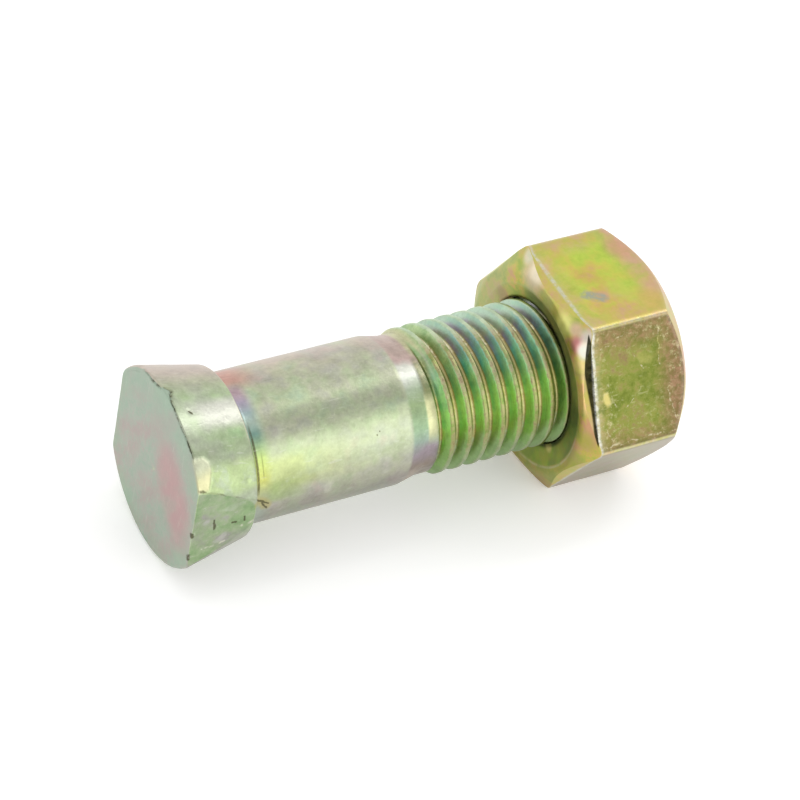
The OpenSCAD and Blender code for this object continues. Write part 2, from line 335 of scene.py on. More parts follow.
def make_nut():
    shell = Shell()
    per_flat = 44
    within = 30 * np.sin(math.pi / 2 * (np.arange(per_flat) / per_flat * 2 - 1))
    angles = np.concatenate([within + 60 * i + 30 for i in range(6)])
    sink_angle = math.degrees(math.atan2(SINK_Z, SINK_Y)) % 360
    first = int(np.argmin(np.abs(angles - sink_angle)))
    angles = np.roll(angles, -first)
    angles = np.where(np.arange(len(angles)) >= len(angles) - first, angles + 360, angles)
    a = np.radians(angles)
    b = np.radians((angles % 60) - 30)
    n = len(angles)
    hexagon = smooth_min(NUT_HALF / np.cos(b), np.full(n, NUT_CORNER_R), 0.2)
    e = np.stack([np.cos(a), np.sin(a)], 1)
    shift = np.array([SINK_Y, SINK_Z])
    along = e @ shift

    def sink_row(depth):
        radius = SINK_R - SINK_SLOPE * depth
        return section(depth, along + np.sqrt(along ** 2 - shift @ shift + radius ** 2))

    bore_depth = (SINK_R - np.linalg.norm(NUT_BORE_R * e - shift, axis=1)) / SINK_SLOPE
    bore_row = section(bore_depth, NUT_BORE_R)
    sink_rim = sink_row(np.zeros(n))
    chamfer, rolled = math.tan(math.radians(30)), math.tan(math.radians(28))
    far_chamfer = math.tan(math.radians(42))
    meet = (hexagon - NUT_FACE_R) * chamfer
    roll_start = (NUT_HALF - ROLL_LENGTH * rolled) / np.cos(b)
    roll_meet = (roll_start - NUT_FACE_R) / (1 / chamfer - rolled / np.cos(b))
    x2 = np.minimum(roll_meet, meet - 0.05)
    p1 = section(np.zeros(n), NUT_FACE_R)
    p2 = section(x2, NUT_FACE_R + x2 / chamfer)
    p3 = section(np.maximum(ROLL_LENGTH, meet + 0.06), hexagon)
    p4 = section(NUT_HEIGHT - (hexagon - NUT_FACE_R) * far_chamfer, hexagon)
    p5 = section(np.full(n, NUT_HEIGHT), NUT_FACE_R)
    far_rim = section(np.full(n, NUT_HEIGHT), NUT_BORE_R + FAR_SINK)
    far_bore = section(np.full(n, NUT_HEIGHT - FAR_SINK / FAR_SLOPE), NUT_BORE_R)
    corner_gap = hexagon * np.sin(np.radians(30) - np.abs(b))
    corner_wear = 0.6 * np.exp(-(corner_gap / 0.19) ** 2)
    soft = np.minimum(1.6, 2 * np.linalg.norm(p2 - p1, axis=1, keepdims=True))
    shoulder = rounded(sink_rim, p1, p2, soft, 5)

    rows = []

    def lay(part, wear=0):
        rows.extend((row, wear) for row in part)

    lay([bore_row] + [sink_row(bore_depth * t) for t in (0.8, 0.6, 0.4, 0.2)])
    lay(rounded(sink_row(bore_depth * 0.3), sink_rim, p1, 0.3, 2), 0.1)
    lay(between(sink_rim, shoulder[0], (0.2, 0.4, 0.6, 0.8)))
    lay(shoulder)
    lay(between(shoulder[-1], p2, (0.3, 0.6, 0.85)))
    lay(rounded(p1, p2, p3, 0.04, 2))
    lay(between(p2, p3, (0.25, 0.5, 0.75)))
    lay(rounded(p2, p3, p4, 0.07, 3), 1)
    lay(between(p3, p4, (0.018,)), 0.8)
    lay(between(p3, p4, (0.038,)), 0.12)
    flat_shares = (0.1, 0.18, 0.27, 0.36, 0.45, 0.54, 0.63, 0.72, 0.81, 0.9, 0.95)
    lay(between(p3, p4, flat_shares))
    lay(rounded(p3, p4, p5, 0.22, 4), 0.15)
    lay(between(p4, p5, (0.3, 0.5, 0.7)))
    lay(rounded(p4, p5, far_rim, 0.2, 3), 0.3)
    lay(between(p5, far_rim, (0.2, 0.4, 0.6, 0.8, 0.95)))
    lay(rounded(p5, far_rim, far_bore, 0.08, 2), 0.2)
    lay(between(far_rim, far_bore, (0.4, 0.7)) + [far_bore])

    previous, near_ring = None, None
    for row, wear in rows:
        gap = np.minimum(np.abs(row[:, 0] - p3[:, 0]), np.abs(p4[:, 0] - row[:, 0]))
        outer = (row[:, 0] > p3[:, 0] - 0.02) & (row[:, 0] < p4[:, 0] + 0.02) & (row[:, 1] > hexagon - 0.3)
        inset = np.where(outer, np.minimum(gap, corner_gap), 0)
        # Bright edges: partly wear, partly painted highlight
        worn = np.maximum(wear, np.where(outer, corner_wear, 0))
        low = UNEVEN_NUT * np.array([wave(x, r * y, r * z, 2.5, 13) for (x, r), (y, z) in zip(row, e)])
        shaped = row - np.stack([np.zeros(n), np.where(outer, low, 0)], 1)
        ring = shell.ring(shaped + [NUT_X, 0], angles, wear=worn, inset=inset)
        if previous is None:
            near_ring = ring
        else:
            shell.join(previous, ring)
        previous = ring

    # The tapped thread lies in the grooves of the bolt's thread
    groove = CREST_X + PITCH * (angles[0] - CREST_TURN) / 360 + PITCH / 2
    ridge_u, first_x = 1.0, 0.6
    x0 = (groove - ridge_u - NUT_X - first_x) % PITCH + first_x
    lines_u = [0.0, 0.2, 0.45, 0.62, 0.8, 0.9, 1.0, 1.1, 1.2, 1.38, 1.55, 1.8]
    height = thread_height((0.72 - np.abs(np.array(lines_u) - ridge_u)) / 0.6)
    run = np.concatenate([angles + 360 * t for t in range(9)]) - angles[0]
    room = NUT_HEIGHT - FAR_SINK / FAR_SLOPE - 0.1 - x0 - lines_u[-1]
    last = int(np.searchsorted(run, room / PITCH * 360)) - 1

    def place(k, m):
        x = x0 + lines_u[m] + PITCH * run[k] / 360
        growth = float(smoothstep(0, 90, run[k])) * float(smoothstep(0, 90, run[last] - run[k]))
        return NUT_X + x, NUT_BORE_R - NUT_RIDGE * float(height[m]) * growth

    shell.helix(near_ring, previous, angles, len(lines_u), place, last, inside=True)
    return shell.build("nut_look")


# Materials

class Graph:
    """Builds the node tree of one material, world or floor."""

    def __init__(self, tree):
        self.tree = tree

    def add(self, kind, **settings):
        node = self.tree.nodes.new(kind)
        for name, value in settings.items():
            setattr(node, name, value)
        return node

    def feed(self, value, socket):
        if isinstance(value, bpy.types.NodeSocket):
            self.tree.links.new(value, socket)
        elif socket.type == "RGBA" and len(value) == 3:
            socket.default_value = (*value, 1)
        else:
            socket.default_value = value

    def math(self, operation, a, b=0, clamp=False):
        node = self.add("ShaderNodeMath", operation=operation, use_clamp=clamp)
        self.feed(a, node.inputs[0])
        self.feed(b, node.inputs[1])
        return node.outputs[0]

    plus = partialmethod(math, "ADD")
    minus = partialmethod(math, "SUBTRACT")
    times = partialmethod(math, "MULTIPLY")
    most = partialmethod(math, "MAXIMUM")
    size = partialmethod(math, "ABSOLUTE")

    def blend(self, a, share_a, b, share_b):
        return self.plus(self.times(a, share_a), self.times(b, share_b))

    def swing(self, noise_value, amount):
        """Noise between 0 and 1, as a swing about 0."""
        return self.times(self.minus(noise_value, 0.5), amount)

    def all(self, *masks):
        return reduce(self.times, masks)

    def any(self, *masks):
        return reduce(self.most, masks)

    def vector(self, operation, a, b=(0, 0, 0), scale=None):
        node = self.add("ShaderNodeVectorMath", operation=operation)
        self.feed(a, node.inputs[0])
        self.feed(b, node.inputs[1])
        if scale is not None:
            self.feed(scale, node.inputs["Scale"])
        return node.outputs["Value" if operation in ("DOT_PRODUCT", "LENGTH") else "Vector"]

    dot = partialmethod(vector, "DOT_PRODUCT")

    def distance(self, a, b):
        return self.vector("LENGTH", self.vector("SUBTRACT", a, b))

    def ease(self, value, low, high, to_low=0, to_high=1):
        node = self.add("ShaderNodeMapRange", interpolation_type="SMOOTHSTEP")
        self.feed(value, node.inputs[0])
        for i, v in enumerate((low, high, to_low, to_high)):
            node.inputs[i + 1].default_value = v
        return node.outputs[0]

    def around(self, value, middle, reach, core):
        """1 within core of the middle, 0 beyond reach."""
        return self.ease(self.size(self.minus(value, middle)), reach, core)

    def mix(self, factor, a, b, blend="MIX"):
        node = self.add("ShaderNodeMix", data_type="RGBA", blend_type=blend)
        self.feed(factor, node.inputs[0])
        self.feed(a, node.inputs[6])
        self.feed(b, node.inputs[7])
        return node.outputs[2]

    def paint(self, mask, amount, base, colour):
        return self.mix(self.times(mask, amount), base, colour)

    def ramp(self, factor, stops):
        node = self.add("ShaderNodeValToRGB")
        points = node.color_ramp.elements
        while len(points) < len(stops):
            points.new(0.5)
        for point, (place, *colour) in zip(points, stops):
            point.position = place
            point.color = (*colour, 1)
        self.feed(factor, node.inputs[0])
        return node.outputs[0]

    def noise(self, vector, scale, detail=2, roughness=0.5, colour=False):
        node = self.add("ShaderNodeTexNoise")
        self.feed(vector, node.inputs["Vector"])
        for name, value in (("Scale", scale), ("Detail", detail), ("Roughness", roughness)):
            node.inputs[name].default_value = value
        return node.outputs["Color" if colour else "Fac"]

    def stroke(self, point, start, end, width):
        """1 on the line from start to end, 0 beside it."""
        span = Vector(end) - Vector(start)
        offset = self.vector("SUBTRACT", point, start)
        along = self.dot(offset, tuple(span))
        share = self.math("DIVIDE", along, span.length_squared, clamp=True)
        foot = self.vector("SCALE", tuple(span), scale=share)
        return self.ease(self.distance(offset, foot), width * STROKE_CORE, width, 1, 0)

    def strokes(self, point, lines):
        return [self.stroke(point, *line) for line in lines]


class Metal(Graph):
    """Plated metal of one piece. Its coordinates are in mm, with the angle from +Y over the top."""

    def __init__(self, name):
        self.material = bpy.data.materials.new(name)
        self.material.use_nodes = True
        super().__init__(self.material.node_tree)
        self.shader = self.tree.nodes["Principled BSDF"]
        self.shader.inputs["Metallic"].default_value = 1
        coord = self.add("ShaderNodeTexCoord")
        self.normal = coord.outputs["Normal"]
        self.point = self.vector("SCALE", coord.outputs["Object"], scale=1 / MM)
        split = self.add("ShaderNodeSeparateXYZ")
        self.feed(self.point, split.inputs[0])
        self.x, self.y, self.z = split.outputs
        self.angle = self.times(self.math("ARCTAN2", self.z, self.y), 180 / math.pi)
        squares = self.plus(self.times(self.y, self.y), self.times(self.z, self.z))
        self.radius = self.math("POWER", squares, 0.5)

    def attribute(self, name):
        return self.add("ShaderNodeAttribute", attribute_name=name).outputs["Fac"]

    def speckle(self, *settings, **more):
        return self.noise(self.point, *settings, **more)

    def moved(self, *offset):
        return self.vector("ADD", self.point, offset)

    def warped(self, scale, amount):
        """The place, shifted by noise, so that strokes come out crooked."""
        warp = self.vector("SUBTRACT", self.speckle(scale, colour=True), (0.5, 0.5, 0.5))
        return self.vector("ADD", self.point, self.vector("SCALE", warp, scale=amount))

    def facing(self, direction, low, high):
        return self.ease(self.dot(self.normal, direction), low, high)

    def scratches(self, turn, fine, long, low, high):
        """Thin broken lines, as scratches and wipe marks."""
        node = self.add("ShaderNodeMapping")
        self.feed(self.point, node.inputs["Vector"])
        node.inputs["Rotation"].default_value = turn
        node.inputs["Scale"].default_value = (long, fine, long)
        return self.ease(self.noise(node.outputs[0], 1, 1, 0.4), low, high)

    def finish(self, colour, shade):
        """Base colour: the colour of the film, shaded by its uneven depth."""
        tone = self.add("ShaderNodeCombineColor")
        for socket in tone.inputs[:3]:
            self.feed(self.times(shade, FILM_DEPTH), socket)
        self.feed(self.mix(1, colour, tone.outputs[0], "MULTIPLY"), self.shader.inputs["Base Color"])

    def relief(self, layers):
        """Fine relief in mm, below the size of the mesh."""
        parts = [self.times(value, depth * MM) for value, depth in layers]
        bump = self.add("ShaderNodeBump")
        bump.inputs["Strength"].default_value = 1
        bump.inputs["Distance"].default_value = 1
        self.feed(reduce(self.plus, parts), bump.inputs["Height"])
        self.feed(bump.outputs[0], self.shader.inputs["Normal"])


# Cracks, nicks and pits of the bolt: start, end and width
CRACKS = (
    ((2.35, -9.05, 0.75), (2.5, -9.05, -0.5), 0.2), ((4.5, -9.05, -0.3), (4.9, -9.05, -0.38), 0.2),
    ((5.8, -9.05, 0.1), (5.9, -9.05, -0.45), 0.16), ((0.05, -9, -0.6), (0.1, -9, -0.85), 0.34),
    ((0.05, -9, -3.7), (0.12, -9, -4.2), 0.3), ((7.3, -8.1, 1.1), (7.8, -7.97, 0.6), 0.2),
    ((7.8, -7.97, 0.6), (8.3, -7.95, 0.2), 0.2), ((8.3, -7.95, 0.2), (9, -7.95, -0.2), 0.16),
    ((8.2, -7.95, 0.1), (8.9, -7.9, -0.9), 0.16), ((1.45, -2.4, 9.95), (1.65, -2.7, 9.82), 0.18),
    ((0.15, -9, 5.5), (0.9, -9.05, 5.25), 0.26), ((21.2, -6.66, 4.34), (21.25, -6.67, 4.3), 0.16),
    ((21.6, -6.5, 4.55), (21.62, -6.5, 4.53), 0.12))
FLAT_EDGE = (((0.6, -9, 5.3), (3.66, -9.05, 3.75), 0.14), ((3.66, -9.05, 3.75), (7, -8.9, 1.9), 0.14))
FLAT_RUBS = (((1.5, -9, -3.2), (3.9, -9, -2.8), 0.22), ((5.4, -9.05, -1.15), (7, -9, -0.95), 0.24))


class BoltMetal(Metal):
    """Noises of the bolt, and masks by the turn round its axis."""

    def __init__(self):
        super().__init__("bolt_zinc")
        # The far side mirrors the near side, so that no seam shows
        self.turn = self.plus(self.math("PINGPONG", self.plus(self.angle, 320), 180), 40)
        self.cloud = self.speckle(0.18, 3, 0.6)
        self.fleck = self.speckle(0.6, 4, 0.62)
        self.grain = self.speckle(1.9, 3, 0.62)
        self.tint = self.noise(self.moved(31, 7, 11), 0.22, 2, 0.5)
        self.hue = self.noise(self.moved(3, 17, 29), 0.36, 3, 0.58)
        self.film = self.blend(self.cloud, 0.5, self.hue, 0.5)

    def over(self, low, high, *to):
        return self.ease(self.turn, low, high, *to)

    def at(self, middle, reach, core):
        return self.around(self.turn, middle, reach, core)


def shank_colour(g):
    """Pale green, with rose over the top, lime by the head, a painted dark reflection band, and grey below as
    painted shade.
    """
    plain = g.ramp(g.film, [
        (0.3, 0.55, 0.7, 0.5), (0.42, 0.62, 0.71, 0.46), (0.5, 0.66, 0.69, 0.5), (0.58, 0.64, 0.65, 0.54),
        (0.68, 0.7, 0.6, 0.53)])
    rose = g.all(g.over(96, 62), g.ease(g.tint, 0.38, 0.6, 0.35, 1))
    plain = g.paint(rose, 0.75, plain, (0.72, 0.58, 0.5))
    blush = g.all(g.at(66, 24, 8), g.ease(g.x, 12.5, 8.6))
    plain = g.paint(blush, 0.85, plain, (0.72, 0.39, 0.32))
    lime = g.all(g.at(158, 20, 7), g.ease(g.x, 23, 9), g.ease(g.hue, 0.34, 0.54, 0.4, 1))
    plain = g.paint(lime, 0.75, plain, (0.7, 0.76, 0.24))
    # Painted shade: the underside is greyer and darker
    grey = g.ramp(g.hue, [(0.38, 0.41, 0.42, 0.33), (0.6, 0.43, 0.37, 0.34)])
    plain = g.paint(g.over(164, 200), 0.75, plain, grey)
    moss = g.all(g.at(172, 12, 5), g.ease(g.x, 15, 9), g.ease(g.hue, 0.34, 0.54, 0.5, 1))
    plain = g.paint(moss, 0.75, plain, (0.46, 0.6, 0.24))
    plain = g.paint(g.at(148, 26, 10), 0.35, plain, (0.58, 0.74, 0.4))
    # Painted dark reflection: a mottled dark band along the shank at about 121 degrees
    dark_reflection_band = g.all(g.at(121, 13, 5), g.ease(g.fleck, 0.46, 0.62), g.ease(g.x, 10.5, 12.5))
    return g.paint(dark_reflection_band, 0.55, plain, (0.42, 0.45, 0.36))


def collar_colour(g, plain):
    """Fillet behind the head: violet, teal, then lime."""
    collar = g.all(g.ease(g.x, 7.1, 7.5), g.ease(g.x, 9.7, 8.3))
    # The pale stop at about 108 degrees is a painted highlight on the fillet; the rest is the film's colour
    colour = g.ramp(g.over(76, 190), [
        (0.04, 0.64, 0.46, 0.52), (0.1, 0.54, 0.46, 0.6), (0.19, 0.42, 0.54, 0.56), (0.28, 0.52, 0.66, 0.57),
        (0.39, 0.28, 0.5, 0.43), (0.62, 0.6, 0.76, 0.24), (0.82, 0.7, 0.72, 0.2), (1, 0.5, 0.56, 0.46)])
    return g.paint(collar, g.over(76, 88, 0, 0.9), plain, colour)


def head_colour(g):
    """Cone of the head and its two flats."""
    cone = g.ramp(g.film, [
        (0.3, 0.46, 0.68, 0.36), (0.42, 0.56, 0.7, 0.42), (0.5, 0.6, 0.7, 0.48), (0.58, 0.56, 0.62, 0.46),
        (0.68, 0.66, 0.66, 0.53)])
    cone = g.mix(g.over(97, 66, 0, 0.85), cone, (0.72, 0.58, 0.51))
    # Painted highlight: a whitish band along the cone at about 107 degrees, weaker near the face
    cone = g.paint(g.at(107, 13, 5), g.ease(g.x, 0.8, 4, 0.2, 0.75), cone, (0.78, 0.76, 0.7))
    # Painted dark reflection, broken up by noise, at about 133 degrees
    cone = g.paint(g.at(133, 9, 4), g.ease(g.fleck, 0.36, 0.56, 0.15, 0.6), cone, (0.4, 0.49, 0.29))
    cone = g.paint(g.at(148, 14, 6), g.ease(g.hue, 0.4, 0.56, 0, 0.7), cone, (0.6, 0.76, 0.34))
    cone = g.mix(g.over(190, 205, 0, 0.7), cone, (0.5, 0.46, 0.43))
    side = g.ramp(g.blend(g.fleck, 0.5, g.hue, 0.5), [
        (0.34, 0.35, 0.54, 0.25), (0.45, 0.41, 0.56, 0.3), (0.54, 0.46, 0.55, 0.35), (0.64, 0.44, 0.43, 0.39)])
    low = g.all(g.ease(g.z, -1, -3.5), g.ease(g.x, 3, 6))
    side = g.paint(low, 0.6, side, (0.46, 0.38, 0.46))
    flat = g.ease(g.size(g.dot(g.normal, (0, 1, 0))), 0.972, 0.99)
    return g.mix(flat, cone, side)


def neck_colour(g, plain):
    """Taper in front of the thread, and the short blank after it."""
    neck = g.all(g.ease(g.x, 25.2, 25.7), g.ease(g.x, 29.2, 28.4))
    # The whitish stops, at about 85 to 100 degrees, are a painted highlight on the taper; the other stops are
    # the film's colour
    pale = g.ramp(g.plus(g.over(60, 215), g.swing(g.tint, 0.3)), [
        (0.04, 0.65, 0.49, 0.43), (0.1, 0.74, 0.53, 0.5), (0.16, 0.78, 0.78, 0.7), (0.26, 0.78, 0.8, 0.73),
        (0.37, 0.56, 0.68, 0.48), (0.47, 0.42, 0.56, 0.29), (0.64, 0.43, 0.63, 0.38), (0.75, 0.44, 0.57, 0.48),
        (0.84, 0.44, 0.36, 0.42), (0.95, 0.38, 0.29, 0.24), (1, 0.58, 0.47, 0.39)])
    plain = g.paint(neck, 0.9, plain, pale)
    # Painted highlight: a pale yellow crescent where the taper meets the blank
    crescent_highlight = g.all(g.ease(g.x, 27.3, 27.6), g.at(146, 26, 10))
    plain = g.paint(crescent_highlight, 0.85, plain, (0.84, 0.82, 0.46))
    top = g.all(g.ease(g.x, 27.6, 28.2), g.over(100, 84, 0, 0.8))
    return g.mix(top, plain, (0.72, 0.74, 0.4))


def thread_colour(g):
    """Green flanks, blue and violet towards the top, gold in the roots, pale on the crests."""
    around = g.over(45, 215)
    place = g.plus(around, g.plus(g.swing(g.fleck, 0.25), g.swing(g.tint, 0.4)))
    upper = g.ramp(place, [
        (0.01, 0.61, 0.81, 0.62), (0.04, 0.55, 0.8, 0.58), (0.1, 0.44, 0.66, 0.52), (0.19, 0.33, 0.58, 0.54),
        (0.3, 0.36, 0.78, 0.58), (0.46, 0.48, 0.9, 0.42), (0.59, 0.46, 0.9, 0.25), (0.71, 0.41, 0.86, 0.17),
        (0.83, 0.32, 0.6, 0.12), (0.95, 0.37, 0.56, 0.23)])
    lower = g.ramp(place, [
        (0.02, 0.56, 0.66, 0.55), (0.09, 0.54, 0.53, 0.57), (0.15, 0.46, 0.4, 0.62), (0.22, 0.32, 0.44, 0.7),
        (0.31, 0.24, 0.66, 0.7), (0.45, 0.27, 0.68, 0.4), (0.59, 0.33, 0.76, 0.28), (0.71, 0.46, 0.94, 0.3),
        (0.83, 0.42, 0.84, 0.2), (0.95, 0.3, 0.48, 0.15)])
    flank = g.mix(g.ease(g.radius, 7.1, 7.6), lower, upper)
    first = g.all(g.ease(g.x, 33.4, 31), g.over(128, 104, 0, 0.8))
    leaf = g.ramp(g.fleck, [(0.36, 0.34, 0.58, 0.2), (0.62, 0.6, 0.74, 0.34)])
    flank = g.mix(first, flank, leaf)
    gold = g.ramp(g.plus(around, g.swing(g.grain, 0.5)), [
        (0.05, 0.82, 0.87, 0.57), (0.12, 1, 0.93, 0.62), (0.21, 0.56, 0.47, 0.23), (0.42, 0.5, 0.45, 0.18),
        (0.59, 0.6, 0.54, 0.2), (0.71, 0.7, 0.66, 0.3), (0.83, 0.5, 0.46, 0.18), (0.97, 0.43, 0.53, 0.28)])
    beige = g.ramp(g.blend(g.grain, 0.6, g.fleck, 0.4), [
        (0.36, 0.4, 0.5, 0.16), (0.46, 0.56, 0.57, 0.26), (0.54, 0.64, 0.56, 0.34), (0.64, 0.44, 0.31, 0.2)])
    for where, tone in ((g.at(160, 34, 14), (0.74, 0.76, 0.62)),
                        (g.at(106, 14, 5), (0.78, 0.78, 0.62))):
        beige = g.mix(where, beige, g.mix(1, beige, tone, "MULTIPLY"))
    # Pale mint on the crests over the top: film colour and painted highlight
    mint = g.mix(g.over(78, 64), (0.8, 0.95, 0.66), (0.62, 0.82, 0.56))
    beige = g.mix(g.over(96, 76, 0, 0.85), beige, mint)
    beige = g.mix(g.over(172, 195, 0, 0.8), beige, (0.4, 0.52, 0.28))
    crest = g.ease(g.plus(g.radius, g.swing(g.grain, 0.3)), 7.77, 7.9)
    root = g.ease(g.radius, 7.04, 6.9)
    thread = g.paint(crest, 0.9, g.mix(root, flank, gold), beige)
    rear = g.ramp(g.fleck, [(0.38, 0.44, 0.6, 0.26), (0.5, 0.62, 0.58, 0.28), (0.62, 0.66, 0.46, 0.24)])
    thread = g.paint(g.facing((1, 0, 0), 0.2, 0.6), 0.85, thread, rear)
    tip = g.ramp(g.blend(g.cloud, 0.6, g.fleck, 0.4), [
        (0.38, 0.5, 0.66, 0.36), (0.5, 0.66, 0.68, 0.44), (0.6, 0.72, 0.58, 0.44)])
    return g.mix(g.ease(g.x, BOLT_LENGTH - 0.12, BOLT_LENGTH - 0.04), thread, tip)


def face_colour(g):
    """Matt face of the head: grey-green streaks and a long rose patch."""
    streak = g.dot(g.point, (0, 0.64, -0.77))
    wide = g.vector("ADD", g.point, g.vector("SCALE", (0, -0.36, 0.43), scale=streak))
    soft = g.noise(g.vector("ADD", wide, (9, 2, 5)), 0.42, 2, 0.45)
    from_rose = g.vector("SUBTRACT", g.point, (0, -4.6, 0.3))
    along = g.dot(from_rose, (0, 0.576 / ROSE_LENGTH, 0.818 / ROSE_LENGTH))
    across = g.dot(from_rose, (0, -0.818 / ROSE_WIDTH, 0.576 / ROSE_WIDTH))
    away = g.plus(*(g.math("POWER", g.size(v), 2) for v in (along, across)))
    blush = g.times(g.ease(away, 1.6, 0), g.ease(soft, 0.34, 0.56, 0.7, 1))
    matt = g.ramp(g.blend(soft, 0.6, g.grain, 0.4), [
        (0.38, 0.55, 0.68, 0.55), (0.46, 0.61, 0.67, 0.57), (0.5, 0.63, 0.65, 0.565), (0.55, 0.65, 0.62, 0.55),
        (0.62, 0.67, 0.58, 0.54)])
    rim = g.all(g.ease(g.radius, 6.8, 9.6), g.ease(g.tint, 0.36, 0.6))
    matt = g.paint(rim, 0.55, matt, (0.53, 0.72, 0.53))
    matt = g.mix(g.ease(g.z, 3, 8, 0, 0.5), matt, (0.55, 0.7, 0.56))
    return g.mix(blush, matt, (0.75, 0.52, 0.505))


def head_marks(g, body):
    """Lap, chip, cracks, nicks, rust and worn rubs, with painted shade in the lap and behind the back edge,
    and a painted highlight along that edge.
    """
    # The lap is darkened in its fold: partly dirt, partly painted shade
    grime = g.times(g.attribute("grime"), g.ease(g.grain, 0.42, 0.54, 0.3, 1.1), clamp=True)
    bare = g.mix(g.ease(g.z, 7.2, 6), (0.76, 0.78, 0.56), (0.9, 0.84, 0.5))
    body = g.paint(g.attribute("chip"), 0.8, body, bare)
    shifted = g.warped(1.4, 0.4)
    dark = g.any(grime, *g.strokes(shifted, CRACKS))
    edge = g.any(*g.strokes(shifted, FLAT_EDGE))
    # Painted shade: dark lines on the collar just behind the head's back edge
    back = g.all(g.around(g.x, 7.72, 0.2, 0.08), g.over(112, 126), g.over(174, 166))
    second = g.all(g.around(g.x, 8.34, 0.1, 0.04), g.over(136, 142), g.over(160, 154))
    back = g.most(back, g.times(second, 0.5))
    dark = g.most(dark, g.times(edge, g.ease(g.fleck, 0.4, 0.6, 0.1, 0.65)))
    dark = g.most(dark, g.times(back, g.ease(g.grain, 0.3, 0.55, 0.45, 0.95)))
    worn = g.times(g.any(*g.strokes(shifted, FLAT_RUBS)), g.ease(g.grain, 0.4, 0.6))
    # Rubbed places on the flat are wear; the pale line along the back rim is a painted highlight
    back_rim_highlight = g.all(g.around(g.x, 7, 0.2, 0.06), g.over(92, 104), g.over(134, 122))
    body = g.paint(g.most(worn, back_rim_highlight), 0.75, body, (0.9, 0.88, 0.72))
    rust = g.stroke(shifted, (7.3, -8.6, 1.2), (8.8, -7.95, -0.4), 0.9)
    body = g.paint(rust, 0.55, body, (0.62, 0.5, 0.14))
    return g.paint(dark, 0.85, body, (0.11, 0.1, 0.05))


def bolt_zinc():
    g = BoltMetal()
    plain = collar_colour(g, shank_colour(g))
    plain = g.mix(g.ease(g.x, 7.25, 7.05), plain, head_colour(g))
    plain = neck_colour(g, plain)
    started = g.most(g.ease(g.x, 29, 29.5), g.ease(g.radius, 7.44, 7.34))
    started = g.times(started, g.ease(g.x, 27.85, 28))
    body = g.mix(started, plain, thread_colour(g))

    # Olive and dull gold where the first groove starts, and a faint painted shadow of the nut on the flank
    # beside it
    groove = g.all(g.ease(g.x, 27.4, 27.85), g.ease(g.x, 29.3, 28.9), g.at(113, 22, 10))
    olive = g.ramp(g.grain, [(0.4, 0.22, 0.25, 0.07), (0.6, 0.4, 0.37, 0.15)])
    body = g.paint(groove, 0.7, body, olive)
    helix = g.minus(g.x, g.times(g.minus(g.turn, CREST_TURN), PITCH / 360))
    nut_shadow = g.all(g.ease(helix, 43, 43.15), g.ease(helix, 43.85, 43.7),
                 g.over(60, 125), g.over(200, 145))
    body = g.paint(nut_shadow, 0.35, body, (0.08, 0.1, 0.05))

    face = g.attribute("matt")
    body = head_marks(g, g.mix(face, body, face_colour(g)))
    hairs = g.scratches((0.4, 0.3, 0.9), 5, 0.5, 0.66, 0.76)
    pale_marks = g.most(hairs, g.ease(g.speckle(2.4, 4, 0.7), 0.63, 0.7))
    pale_marks = g.times(pale_marks, g.minus(1, started))
    body = g.paint(pale_marks, 0.25, body, (0.85, 0.86, 0.76))

    shade = g.plus(g.times(g.fleck, 0.7), g.plus(g.times(g.grain, 0.34), 0.38))
    shade = g.plus(shade, g.times(g.speckle(4.2, 2, 0.5), 0.2))
    shade = g.plus(shade, g.times(g.times(face, 0.65), g.minus(1, shade)))
    g.finish(body, shade)
    rough = g.plus(g.blend(g.fleck, 0.2, g.grain, 0.1), g.plus(g.times(face, 0.25), 0.2))
    g.feed(rough, g.shader.inputs["Roughness"])
    g.relief([(g.grain, 0.012), (g.fleck, 0.04), (hairs, -0.004)])
    return g.material


# Film of the nut. Patches: centre, reach, amount and colour; among the near face's patches, the near-white
# ones are painted highlights and the dark olive ones painted shade. Strokes: start, end and width
TOP_PATCHES = (
    ((53.6, -4.6, 11.85), 2.4, 0.6, (0.86, 0.6, 0.18)), ((51.2, -2.2, 11.85), 2.2, 0.6, (0.68, 0.83, 0.15)),
    ((54.4, 3.4, 11.85), 2.4, 0.6, (0.86, 0.48, 0.3)))
NEAR_FILM_AND_LIGHT_PATCHES = (
    ((43.75, -10.2, 5.2), 2.6, 0.7, (0.95, 0.66, 0.34)), ((43.8, -8.2, 7.8), 2, 0.7, (0.98, 0.86, 0.4)),
    ((43.8, -1.9, 11), 2.6, 0.6, (0.82, 0.8, 0.22)), ((43.8, -3.8, 10.2), 2, 0.9, (0.92, 0.9, 0.34)),
    ((44, -5.4, 10.9), 1.2, 0.9, (1, 0.72, 0.5)), ((44, -6.3, 9.6), 1.3, 0.95, (0.86, 0.36, 0.37)),
    ((44.3, -7.4, 9.6), 1.3, 0.95, (1, 0.97, 0.88)), ((43.9, 3.1, 11.2), 3.2, 0.8, (0.92, 0.74, 0.55)),
    ((43.7, -11.8, 0.6), 2, 0.8, (0.62, 0.58, 0.13)), ((43.75, -10.9, -2.7), 2.2, 0.7, (0.48, 0.53, 0.15)),
    ((44.2, 3, 11.8), 2, 0.65, (1, 0.9, 0.72)), ((44.3, -7, 11.1), 1.5, 0.85, (1, 0.9, 0.86)),
    ((43.75, 7.3, 4.4), 1.7, 0.4, (0.34, 0.36, 0.13)), ((43.75, -0.4, 10.4), 1.5, 0.6, (0.75, 0.82, 0.32)),
    ((44.5, 5.6, 11.6), 1.4, 0.7, (1, 0.96, 0.8)), ((44.3, -11, -5), 3, 0.7, (0.5, 0.52, 0.1)))
